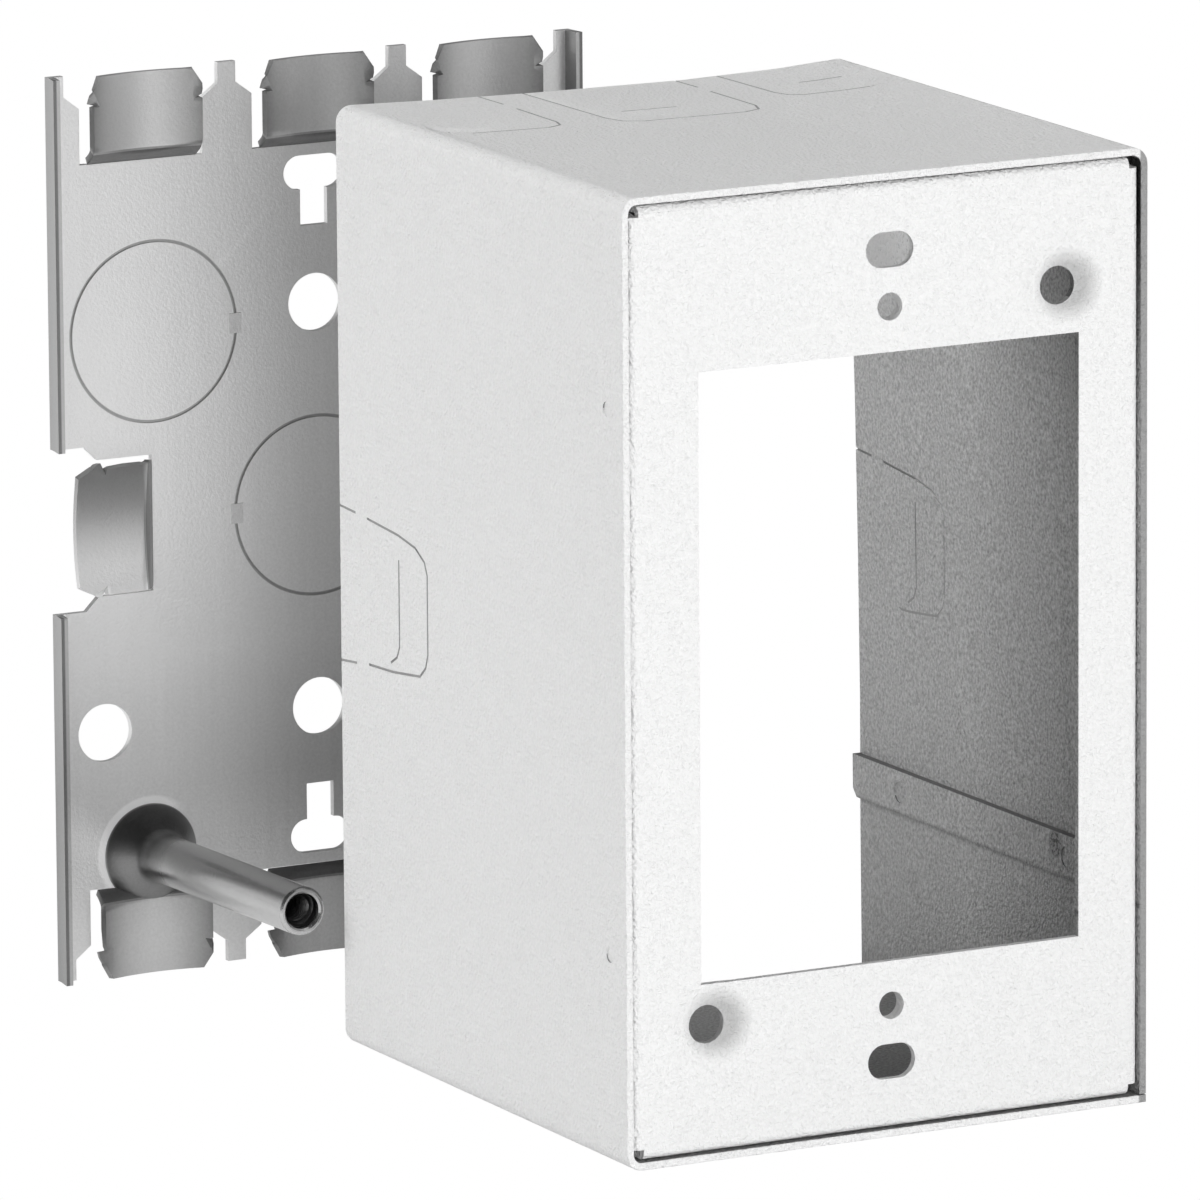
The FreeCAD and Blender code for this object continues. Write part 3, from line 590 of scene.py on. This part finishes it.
def lift(u, v, half):
    wide = min(abs(u) / half, 1.0)
    run = 1.7 + 0.8 * wide ** 2
    step = 1 - (1 - min(v / run, 1.0)) ** 2
    return step * (RISE - DISH * (1 - wide ** 2))


print("crown at the middle", round(lift(0.0, CROWN_END, TONGUE_HALF), 2), "mm")

# %% One tongue
RISER_TOP = 1.4
BEND_TOP = 1.7
STAND = Matrix(((1, 0, 0, 0), (0, 0, -1, 0), (0, 1, 0, 0), (0, 0, 0, 1)))


def make_tongue(foot_x, foot_z, turns, half, length):
    shape = tongue_blank(half, length)
    slice_blank(shape, half, length)
    for vert in shape.verts:
        u, v, back = fold_back(vert.co.x, vert.co.y, half, length)
        vert.co = (u, v, lift(u, v, half) - back)
    for face in shape.faces:
        along = face.calc_center_median().y
        face.material_index = 1 if along < RISER_TOP else 2 if along < BEND_TOP else 0
    bmesh.ops.recalc_face_normals(shape, faces=shape.faces)
    if sum(face.normal.z for face in shape.faces) < 0:
        bmesh.ops.reverse_faces(shape, faces=shape.faces)
    bmesh.ops.solidify(shape, geom=shape.faces, thickness=SHEET)
    turn = Matrix.Rotation(math.radians(90 * turns), 4, "Z")
    shape.transform(Matrix.Translation(on_plate(foot_x, foot_z)) @ Matrix.Scale(MM, 4) @ STAND @ turn)
    return shape


print("riser up to", RISER_TOP, "mm, bend up to", BEND_TOP, "mm")

# %% Tongues
def plate_tongues():
    tongues = bmesh.new()
    for foot_x, foot_z, turns in TONGUES:
        half, length = (SIDE_HALF, SIDE_LENGTH) if turns % 2 else (TONGUE_HALF, PLATE_HALF - TONGUE_FOOT - 0.1)
        add_shape(tongues, make_tongue(foot_x, foot_z, turns, half, length))
    round_edges(tongues, [edge for edge in tongues.edges if is_sheared(edge, 65.0)], 0.1)
    return finish_piece(tongues, "plate_tongues", "base_plate", [tongue_steel, riser_steel, bend_steel])


plate_tongues()

# %% [markdown]
# The posts are drawn out of the sheet: a short dome, then a straight tube with a chamfered mouth. Each could be a
# pipe that is joined to a cone, but one closed section that is spun a full turn has no seam between them. The lower
# post leans up a little, from a foot that stands lower than its mouth.

# %% Section of a post: radius and height in front of the plate
DOME = [(7.6, 0.02), (6.3, 0.04), (6.05, 0.4), (5.6, 1.0), (4.95, 1.7), (4.25, 2.35), (3.65, 2.9), (3.3, 3.4),
        (3.12, 4.1), (3.06, 5.2), (3.04, 8.0), (3.03, 16.0)]
MOUTH = [(3.0, 41.65), (2.88, 41.88), (2.7, 42.0), (2.45, 42.0), (2.2, 41.8), (2.05, 41.4)]
HOLLOW = [(2.0, 6.0), (2.3, 3.2), (3.2, 1.6), (4.4, 0.3), (5.2, -0.5), (5.6, -0.88), (7.6, -0.88)]


def closed_ring(shape, points):
    verts = [shape.verts.new((radius, forward, 0)) for radius, forward in points]
    return verts + [shape.edges.new((verts[i - 1], verts[i])) for i in range(len(verts))]


print(len(DOME + MOUTH + HOLLOW), "points in the section")

# %% Posts
BORE_SKIN = 2.1
FLANGE_SKIN = 6.35
LEAN_RADIUS = 7.0


def lean(shape, drop):
    foot = on_plate(*POST_PLACES[0])
    for vert in shape.verts:
        offset = vert.co - foot
        if math.hypot(offset.x, offset.z) < LEAN_RADIUS * MM:
            vert.co.z -= drop * MM * (1 - min(max(-offset.y / (POST_LENGTH * MM), 0.0), 1.0))


def make_post(x, z, drop):
    tube = bmesh.new()
    ring = closed_ring(tube, [(radius, -forward) for radius, forward in DOME + MOUTH + HOLLOW])
    bmesh.ops.spin(tube, geom=ring, cent=(0, 0, 0), axis=(0, 1, 0), angle=2 * math.pi, steps=96, use_merge=True)
    bmesh.ops.recalc_face_normals(tube, faces=tube.faces)
    for face in tube.faces:
        spot = face.calc_center_median()
        radius = math.hypot(spot.x, spot.z)
        face.material_index = 1 if radius < BORE_SKIN else 2 if radius > FLANGE_SKIN else 0
    tube.transform(Matrix.Translation(on_plate(x, z)) @ Matrix.Scale(MM, 4))
    if drop:
        lean(tube, drop)
    return tube


def plate_posts():
    posts = bmesh.new()
    for (x, z), drop in zip(POST_PLACES, (POST_DROP, 0.0)):
        add_shape(posts, make_post(x, z, drop))
    return finish_piece(posts, "plate_posts", "base_plate", [post_steel, bore_steel, steel], sharp=28.0)


plate_posts()

# %% [markdown]
# Each post is tapped for a cover screw. Stacked rings would look like a thread only from afar, so a small tooth
# section is spun with a step forward on every turn, which leaves a real helix inside the bore. Its first turn grows
# out of the wall, as a tap leaves it.

# %% Threads in the posts
BORE = 2.0
PITCH = 0.8
THREAD_TURNS = 14
STEPS_PER_TURN = 28
TOOTH = [(0.05, -0.38), (-0.05, -0.38), (-0.42, -0.06), (-0.42, 0.06), (-0.05, 0.38), (0.05, 0.38)]


def make_thread(x, z):
    tooth = bmesh.new()
    steps = STEPS_PER_TURN * THREAD_TURNS
    ring = closed_ring(tooth, [(BORE + radius, 0.9 + forward) for radius, forward in TOOTH])
    bmesh.ops.spin(tooth, geom=ring, cent=(0, 0, 0), axis=(0, 1, 0), dvec=(0, PITCH * THREAD_TURNS / steps, 0),
                   angle=2 * math.pi * THREAD_TURNS, steps=steps, use_merge=False)
    for vert in tooth.verts:
        started = min(max((vert.co.y - 0.5) / 1.6, 0.0), 1.0)
        radius = math.hypot(vert.co.x, vert.co.z)
        wanted = BORE + 0.05 - (BORE + 0.05 - radius) * started
        vert.co.x *= wanted / radius
        vert.co.z *= wanted / radius
    bmesh.ops.holes_fill(tooth, edges=tooth.edges, sides=8)
    bmesh.ops.recalc_face_normals(tooth, faces=tooth.faces)
    tooth.transform(Matrix.Translation(on_plate(x, z, POST_LENGTH)) @ Matrix.Scale(MM, 4))
    return tooth


def post_threads():
    threads = bmesh.new()
    for x, z in POST_PLACES:
        add_shape(threads, make_thread(x, z))
    return finish_piece(threads, "post_threads", "base_plate", [bore_steel], sharp=30.0)


post_threads()

# %% [markdown]
# The cover is folded from sheet that was cut first, so its front edges are sheared and then softened by the paint.
# Copies of the CAD solids get a small rounding there. The inside of the sleeve gets only a thin dusty coat of paint,
# so its faces take a greyer and grainier finish that also carries painted shade, and so does the strap that is
# welded to its right wall.

# %% Rounding across the cover's depth
def soften_front(shape, level):
    rims = [edge for edge in shape.edges
            if is_sheared(edge) and all(abs(vert.co.y - level) < 0.01 * MM for vert in edge.verts)]
    round_edges(shape, rims, 0.14)


print("cover front at", round(COVER.y / MM, 2), "mm")

# %% Sleeve
GROOVE_WIDTH = 0.34
GROOVE_AREA = 4e-5
LOW_SIDE, HIGH_SIDE = [(Vector(corner) - COVER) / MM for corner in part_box("box_sleeve")]


def in_groove(face, spot):
    skins = sorted((spot.x - LOW_SIDE.x, HIGH_SIDE.x - spot.x, spot.z - LOW_SIDE.z, HIGH_SIDE.z - spot.z))
    narrow = min(edge.calc_length() for edge in face.edges) < GROOVE_WIDTH * MM and face.calc_area() < GROOVE_AREA
    return 0.03 < skins[0] < 1.8 and skins[1] > 3.5 and 25.0 < spot.y < 72.5 and narrow


def sleeve_walls():
    shape = merged_copy("box_sleeve")
    flatten(shape)
    soften_front(shape, COVER.y)
    for face in shape.faces:
        spot = (face.calc_center_median() - COVER) / MM
        inward = face.normal.x * spot.x + face.normal.z * spot.z < 0
        # Groove faces take the darker paint, as painted shade in the recess.
        face.material_index = 2 if in_groove(face, spot) else 1 if inward and spot.y > 3.0 else 0
    print(sum(face.material_index == 2 for face in shape.faces), "groove faces")
    return finish_piece(shape, "sleeve_walls", "box_sleeve", [paint, inside_paint, groove_shade_paint])


sleeve_walls()

# %% Strap and front panel
def strap_strip():
    shape = merged_copy("side_strap")
    flatten(shape)
    for face in shape.faces:
        face.material_index = 1 if face.normal.z > 0.5 else 0
    return finish_piece(shape, "strap_strip", "side_strap", [inside_paint, shade_paint])


def panel_face():
    shape = merged_copy("front_panel")
    flatten(shape)
    soften_front(shape, COVER.y + 0.2 * MM)
    for face in shape.faces:
        spot = (face.calc_center_median() - COVER) / MM
        # The cut edge on the right of the opening takes the inside paint, as painted shade.
        face.material_index = 1 if face.normal.x < -0.7 and 20.0 < spot.x < 34.0 and spot.y > 0.4 else 0
    return finish_piece(shape, "panel_face", "front_panel", [panel_paint, inside_paint])


strap_strip()
panel_face()

# %% [markdown]
# The photograph has a pure white surround, so the floor and the world are white where the camera or a reflection
# looks straight at them, while lamps of plain strength light the object.

# %% Floor
FLOOR_HALF = 4.0


def white_ground():
    material = bpy.data.materials.new("ground")
    material.use_nodes = True
    tree = material.node_tree
    tree.nodes.clear()
    path = tree.nodes.new("ShaderNodeLightPath")
    camera_ray, glossy_ray, through_ray = [Wire(tree, path.outputs[kind]) for kind in (
        "Is Camera Ray", "Is Glossy Ray", "Is Transmission Ray")]
    direct = (camera_ray + (glossy_ray + through_ray) * 0.5).capped(1.0)
    dull = direct.feed("ShaderNodeBsdfDiffuse", {"Color": (0.8, 0.8, 0.8, 1)})
    glow = direct.feed("ShaderNodeEmission", {"Strength": 1.0})
    mix = direct.feed("ShaderNodeMixShader", {0: direct, 1: dull, 2: glow})
    connect(mix, tree.nodes.new("ShaderNodeOutputMaterial"), "Surface")
    return material


def ground_plane(size):
    mesh = bpy.data.meshes.new("floor")
    shape = bmesh.new()
    bmesh.ops.create_grid(shape, x_segments=1, y_segments=1, size=size)
    shape.to_mesh(mesh)
    shape.free()
    plane = bpy.data.objects.new("floor", mesh)
    bpy.context.scene.collection.objects.link(plane)
    mesh.materials.append(white_ground())
    return plane


floor = ground_plane(FLOOR_HALF)
print("floor half size", FLOOR_HALF)

# %% [markdown]
# The steel mirrors its surround, so the world is not one flat white for a reflection: it is bright near the horizon
# where the flat of the plate looks, and fades upward and to both sides. Light that only fills the shadows is dim.

# %% World
WORLD_LEVEL = 0.26
BAND_SIDE = (-0.465, 0.885, 0.0)
BAND_HEIGHT = 0.15


def studio_world():
    world = bpy.data.worlds.new("studio")
    world.use_nodes = True
    tree = world.node_tree
    tree.nodes.clear()
    place = Wire(tree, tree.nodes.new("ShaderNodeTexCoord").outputs["Generated"])
    along = place.feed("ShaderNodeVectorMath", {0: place, 1: BAND_SIDE}, output=1, operation="DOT_PRODUCT")
    rise = place.axis(2) - BAND_HEIGHT
    level = place.feed("ShaderNodeMath", {0: 1.0, 1: rise * rise * 14.0 + 1.0}, operation="DIVIDE")
    narrow = along * along * along
    band = level * (narrow * narrow * narrow * narrow * 0.9 + 0.1)
    path = tree.nodes.new("ShaderNodeLightPath")
    camera_ray, glossy_ray, through_ray = [Wire(tree, path.outputs[kind]) for kind in (
        "Is Camera Ray", "Is Glossy Ray", "Is Transmission Ray")]
    faint = (1.0 - glossy_ray * 0.75) * WORLD_LEVEL
    white = (camera_ray + (glossy_ray + through_ray) * band).capped(1.0)
    dim = place.feed("ShaderNodeBackground", {"Color": (0.9, 0.9, 0.9, 1), "Strength": faint})
    bright = place.feed("ShaderNodeBackground", {"Color": (1, 1, 1, 1), "Strength": 1.0})
    mix = place.feed("ShaderNodeMixShader", {0: white, 1: dim, 2: bright})
    connect(mix, tree.nodes.new("ShaderNodeOutputWorld"), "Surface")
    bpy.context.scene.world = world
    return world


studio_world()
print("world level", WORLD_LEVEL)

# %% [markdown]
# Four rectangular lamps light the box: two from the front, which keep its face almost white, a weaker one from the
# left behind and a weak one from above. They are hidden from reflections, so the steel shows no hard squares.

# %% Lamps
AIM = Vector((0, 0, 0.057))
LAMPS = {"front_lamp": ((1.0, -2.7, 0.6), 1.0, 2.0, 42.0),
         "near_lamp": ((-0.9, -2.7, 0.4), 1.0, 1.4, 42.0),
         "left_lamp": ((-1.2, 0.9, 0.5), 0.7, 0.7, 12.0),
         "top_lamp": ((0.0, 0.3, 1.6), 1.2, 1.2, 9.3)}


def soft_lamp(name, place, width, height, power):
    lamp = bpy.data.lights.new(name, "AREA")
    lamp.shape = "RECTANGLE"
    lamp.size = width
    lamp.size_y = height
    lamp.energy = power
    holder = bpy.data.objects.new(name, lamp)
    holder.location = place
    holder.visible_glossy = False
    holder.rotation_euler = (AIM - Vector(place)).to_track_quat("-Z", "Y").to_euler()
    bpy.context.scene.collection.objects.link(holder)
    return holder


for name, setting in LAMPS.items():
    soft_lamp(name, *setting)
    print(name, setting[-1], "watts")

# %% [markdown]
# The camera stands where the photograph was taken from: about 28 degrees to the left and 12 degrees up, far away
# with a long lens. Its place comes from a fit of the box's straight edges in the 1200 pixel frame.

# %% Camera
FRAME = 1200.0
FOCAL = 13418.558
SHIFT = (16.035, -19.946)
AZIMUTH, HEIGHT, ROLL = [math.radians(angle) for angle in (-27.697, 11.736, -0.403)]
ASIDE, ABOVE, AWAY = -35.516, 9.147, 1564.856


def photo_camera():
    back = Vector((math.sin(AZIMUTH) * math.cos(HEIGHT), -math.cos(AZIMUTH) * math.cos(HEIGHT), math.sin(HEIGHT)))
    right = Vector((0, 0, 1)).cross(back).normalized()
    up = back.cross(right)
    turned_right = right * math.cos(ROLL) + up * math.sin(ROLL)
    turned_up = up * math.cos(ROLL) - right * math.sin(ROLL)
    place = turned_right * ASIDE + turned_up * ABOVE + back * AWAY
    data = bpy.data.cameras.new("camera")
    data.sensor_width = 36.0
    data.lens = FOCAL / FRAME * 36.0
    data.shift_x = SHIFT[0] / FRAME
    data.shift_y = SHIFT[1] / FRAME
    data.clip_end = 20.0
    holder = bpy.data.objects.new("camera", data)
    axes = Matrix((turned_right, turned_up, back)).transposed().to_4x4()
    holder.matrix_world = Matrix.Translation(COVER + place * MM) @ axes
    bpy.context.scene.collection.objects.link(holder)
    bpy.context.scene.camera = holder
    return holder


camera = photo_camera()
print("camera at", [round(v, 3) for v in camera.matrix_world.translation])

# %% Finish
scene = bpy.context.scene
scene.view_settings.view_transform = "Standard"
